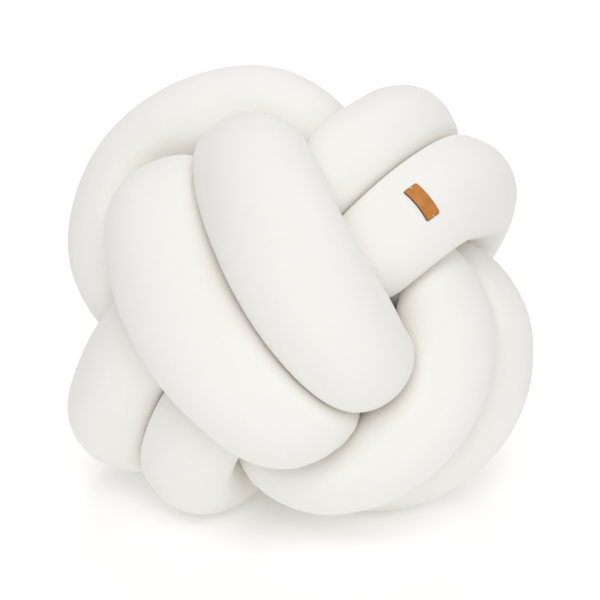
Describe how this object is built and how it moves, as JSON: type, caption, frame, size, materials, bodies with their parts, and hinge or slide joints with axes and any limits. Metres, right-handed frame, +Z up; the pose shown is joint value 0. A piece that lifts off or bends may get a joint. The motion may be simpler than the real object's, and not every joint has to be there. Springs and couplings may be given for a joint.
{
  "type": "knot ball cushion",
  "caption": "Round throw cushion tied from one long stuffed jersey tube, a knotted ball of three bands at right angles with two turns each, and a small leather tag.",
  "frame": {"origin": "middle of the ball's footprint, on the surface it rests on", "axes": "+Z up; -Y is the side with the two long crossing turns, seen from in front; the tag is towards +X"},
  "size_m": [0.4038, 0.4092, 0.3694],
  "materials": {
    "jersey": "smooth off-white cotton jersey, matt, with a very fine knit",
    "tan_leather": "smooth tan leather with dark cut edges, softly satin"
  },
  "bodies": {
    "root": {"stuffed_tube": "jersey", "leather_tag": "tan_leather"}
  },
  "joints": []
}
